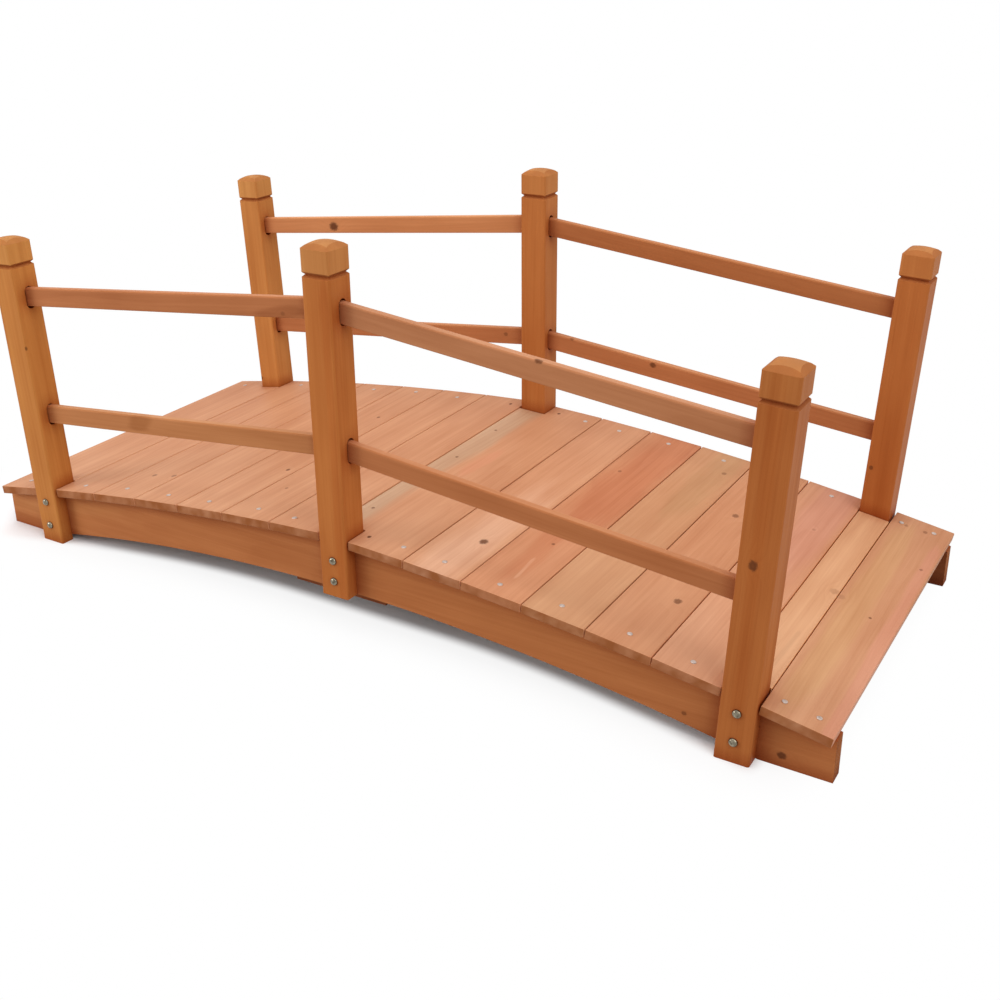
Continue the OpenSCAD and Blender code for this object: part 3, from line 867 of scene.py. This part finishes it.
def turned(radii, heights, steps=ROUND_STEPS, closed=False):
    """A surface of revolution round +Z. Ring i has radius radii[i] and height heights[i], both numbers or
    arrays over the angle. An open profile ends in a pole at both ends, a closed one is a ring like a nut."""
    angles = np.linspace(0, 2 * np.pi, steps, endpoint=False)
    radii = np.array([np.broadcast_to(radius, steps) for radius in radii])
    heights = np.array([np.broadcast_to(height, steps) for height in heights])
    points = np.stack([radii * np.cos(angles), radii * np.sin(angles), heights], axis=-1).reshape(-1, 3)
    rings = len(radii)
    count = rings if closed else rings - 1
    first, around = np.meshgrid(np.arange(count), np.arange(steps), indexing="ij")
    second = (first + 1) % rings
    beside = (around + 1) % steps
    quads = np.stack([first * steps + around, first * steps + beside,
                      second * steps + beside, second * steps + around], axis=-1).reshape(-1, 4)
    faces = quads.tolist()
    if not closed:
        faces.append(list(range(steps))[::-1])
        faces.append(list(range((rings - 1) * steps, rings * steps)))
    return points, faces


def placed(shape, place, axis):
    """A turned shape moved from the origin and +Z to a place and an axis, from millimetres to metres."""
    points, faces = shape
    rotation = np.array(Vector((0, 0, 1)).rotation_difference(Vector(axis)).to_matrix())
    return points * MM @ rotation.T + np.asarray(place), faces


def fastener(name, shapes):
    """One piece made of several shapes, with the face numbers moved on. It rides on the bridge."""
    points, faces, start = [], [], 0
    for shape_points, shape_faces in shapes:
        points.append(shape_points)
        faces += [[start + corner for corner in face] for face in shape_faces]
        start += len(shape_points)
    piece = make_piece(name, np.concatenate(points), faces)
    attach(piece, "root")
    return piece


print("shapes are turned in", ROUND_STEPS, "steps")

# %% [markdown]
# ## A bolt from its profile
# A turned shape needs only a list of radii and heights. The thread is part of the same profile: its radius
# also depends on the angle, so that the ridge climbs by one pitch a turn. The nut's radius follows a hexagon.

# %% Bolts, washers and nuts
# All but the steps in millimetres
BOLT_D, BOLT_END = 6.0, 3.5
HEAD_D, HEAD_H, HEAD_RIM = 11.5, 4.2, 0.7
WASHER_D, WASHER_T = 16.0, 1.4
NUT_ACROSS, NUT_H, NUT_STEPS = 10.0, 5.0, 48
THREAD_PITCH, THREAD_DEPTH, THREAD_LENGTH = 1.0, 0.35, 12


def bolt_shape(length):
    """A domed head above height 0 and a shank below it. The dome is part of an ellipse: its height is
    HEAD_H times the square root of 1 minus the squared share of the radius, over a short straight rim."""
    rise = np.linspace(0, np.pi / 2 * 0.97, 9)
    thread = np.arange(0, THREAD_LENGTH, THREAD_PITCH / 6)
    angles = np.linspace(0, 2 * np.pi, ROUND_STEPS, endpoint=False)
    ridge = [BOLT_D / 2 - THREAD_DEPTH * (0.5 + 0.5 * np.cos(2 * np.pi * z / THREAD_PITCH - angles))
             for z in thread]
    end = -length
    radii = [BOLT_D / 2 - 0.8] + ridge + [BOLT_D / 2, BOLT_D / 2, HEAD_D / 2, HEAD_D / 2]
    heights = [end - 0.6] + [end + z for z in thread] + [end + THREAD_LENGTH + 0.2, 0, 0, HEAD_RIM]
    radii += list(HEAD_D / 2 * np.cos(rise[1:]))
    heights += list(HEAD_RIM + (HEAD_H - HEAD_RIM) * np.sin(rise[1:]))
    return turned(radii, heights)


def nut_shape():
    """A hexagon nut with its lower face at height 0. Its outline is half the width over the cosine of the
    angle from the nearest flat's middle, cut by a cone at both ends."""
    angles = np.linspace(0, 2 * np.pi, NUT_STEPS, endpoint=False)
    hexagon = NUT_ACROSS / 2 / np.cos((angles + np.pi / 6) % (np.pi / 3) - np.pi / 6)
    cone = NUT_ACROSS / 2 * 1.04
    bore = BOLT_D / 2 - THREAD_DEPTH * 0.5
    radii = [bore, cone, np.minimum(hexagon, cone + 0.35), hexagon, hexagon,
             np.minimum(hexagon, cone + 0.35), cone, bore]
    heights = [0, 0, 0.3, 0.7, NUT_H - 0.7, NUT_H - 0.3, NUT_H, NUT_H]
    return turned(radii, heights, steps=NUT_STEPS, closed=True)


def washer_shape():
    """A flat ring with slightly rounded edges and its lower face at height 0."""
    out = WASHER_D / 2
    bore = BOLT_D / 2 + 0.2
    return turned([bore, out - 0.3, out, out, out - 0.3, bore],
                  [0, 0, 0.3, WASHER_T - 0.3, WASHER_T, WASHER_T], closed=True)


def bolt_holes(name):
    """Middles of a post's two bolt holes on its outer face, in metres. Only points of the holes lie within
    5 mm of that face's middle line."""
    places, own = VERTICES[name], OWN_VERTICES[name]
    outer = np.abs(places[:, 1]).max()
    side_way = 1 if abs(AXES[name][1, 1]) < 0.5 else 2
    middle = (own[:, side_way].max() + own[:, side_way].min()) / 2
    near = (np.abs(np.abs(places[:, 1]) - outer) < 0.05 * MM) & (np.abs(own[:, side_way] - middle) < 5)
    rims = places[near]
    split = (rims[:, 2].max() + rims[:, 2].min()) / 2
    halves = (rims[rims[:, 2] < split], rims[rims[:, 2] >= split])
    return [(half.max(axis=0) + half.min(axis=0)) / 2 for half in halves]


BOLT_PLACES = {name: bolt_holes(name) for name in wood_pieces if name.endswith("post")}
for post_name, holes in BOLT_PLACES.items():
    print(post_name, "bolts at", [[round(float(part) / MM, 1) for part in hole] for hole in holes], "mm")


def inner_face(name):
    """How far from the bridge's middle line the nuts sit: on the splice board, or the beam at an end post."""
    side = name.split("_")[1]
    low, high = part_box(side + "_splice_board" if "middle" in name else name.replace("post", "beam"))
    return min(abs(low.y), abs(high.y))


def fasten_post(name):
    """The bolts of a post, and their washers and nuts, as two pieces."""
    outward = -1.0 if "front" in name else 1.0
    inner = inner_face(name)
    bolts, nuts = [], []
    for hole in BOLT_PLACES[name]:
        seat = np.array([hole[0], outward * inner, hole[2]])
        length = (abs(hole[1]) - inner) / MM + WASHER_T + NUT_H + BOLT_END
        bolts.append(placed(bolt_shape(length), hole, (0, outward, 0)))
        nuts.append(placed(washer_shape(), seat, (0, -outward, 0)))
        on_washer = seat + np.array([0, -outward * WASHER_T * MM, 0])
        nuts.append(placed(nut_shape(), on_washer, (0, -outward, 0)))
    return [fastener(name + "_bolts", bolts), fastener(name + "_nuts", nuts)]


# %% [markdown]
# ## Nails
# A nail's head is a low disc that has been struck almost flush. It is a turned shape like the bolt's head,
# and all nails over one pair of beams are one mesh.

# %% Nails
NAIL_D, NAIL_PROUD, NAIL_ROUND_STEPS = 7.4, 0.7, 20


def nail_shape():
    """A low domed head above height 0 and the start of its shank below."""
    radius = NAIL_D / 2
    radii = [1.4, 1.4, radius - 0.2, radius, radius - 0.15, radius * 0.75, radius * 0.4, radius * 0.12]
    heights = [-3.0, -0.3, -0.3, 0.1, NAIL_PROUD * 0.6, NAIL_PROUD * 0.9, NAIL_PROUD, NAIL_PROUD]
    return turned(radii, heights, steps=NAIL_ROUND_STEPS)


def nail_row(side, way):
    """All nails over the beams of one side, as one piece, without those that were driven deep."""
    shapes = []
    for name in wood_pieces:
        if name.startswith("deck"):
            places, up = nail_places(name, way)
            shapes += [placed(nail_shape(), place, up) for number, place in enumerate(places)
                       if (name, way, number) not in SUNK_NAILS]
    return fastener(side + "_nails", shapes)


print("a nail's head is", NAIL_D, "mm wide and stands", NAIL_PROUD, "mm proud")

# %% [markdown]
# ## Zinc-plated steel
# Bolts and nails have a thin coat of zinc: a metal with soft reflections, a little uneven in gloss. On the
# bolts, bright and dark patches in the colour are painted highlights and painted dark reflections.

# %% Steel
# name: colour, colour of the dark patches, metal share, roughness
STEELS = {"bolt steel": ((0.340, 0.300, 0.220), (0.085, 0.072, 0.050), 1.0, 0.22),
          "nail steel": ((0.600, 0.490, 0.430), (0.400, 0.320, 0.280), 0.7, 0.35)}
CLOUDS, CLOUD_CONTRAST, GLOSS_VARIES = (4, 4, 3.0), 2.5, 0.2


def steel_material(name):
    """Plated steel: a metal whose gloss and colour vary by slow noise in millimetres."""
    bright, dark_patch, metal_share, roughness = STEELS[name]
    material, tree, shader = new_tree(name)
    place = add_node(tree, "ShaderNodeMapping", {"Vector": own_place(tree), "Scale": (MM, MM, MM)},
                     vector_type="TEXTURE")
    cloud = stretched_noise(tree, place.outputs[0], *CLOUDS)
    # On the bolts, the bright and dark patches are painted highlights and painted dark reflections
    colour = blend(tree, sums(tree, "MULTIPLY_ADD", cloud, CLOUD_CONTRAST, 0.5, clamp=True), bright, dark_patch)
    tree.links.new(colour, shader.inputs["Base Color"])
    tree.links.new(sums(tree, "MULTIPLY_ADD", cloud, GLOSS_VARIES, roughness), shader.inputs["Roughness"])
    shader.inputs["Metallic"].default_value = metal_share
    return material


steel_pieces = {"bolt steel": [piece for name in BOLT_PLACES for piece in fasten_post(name)],
                "nail steel": [nail_row("front", FRONT), nail_row("back", BACK)]}
for steel_name, made_pieces in steel_pieces.items():
    steel = steel_material(steel_name)
    for steel_piece in made_pieces:
        steel_piece.data.materials.append(steel)
        steel_piece.data.polygons.foreach_set("use_smooth", np.ones(len(steel_piece.data.polygons), bool))
    print(steel_name, "on", len(made_pieces), "pieces")
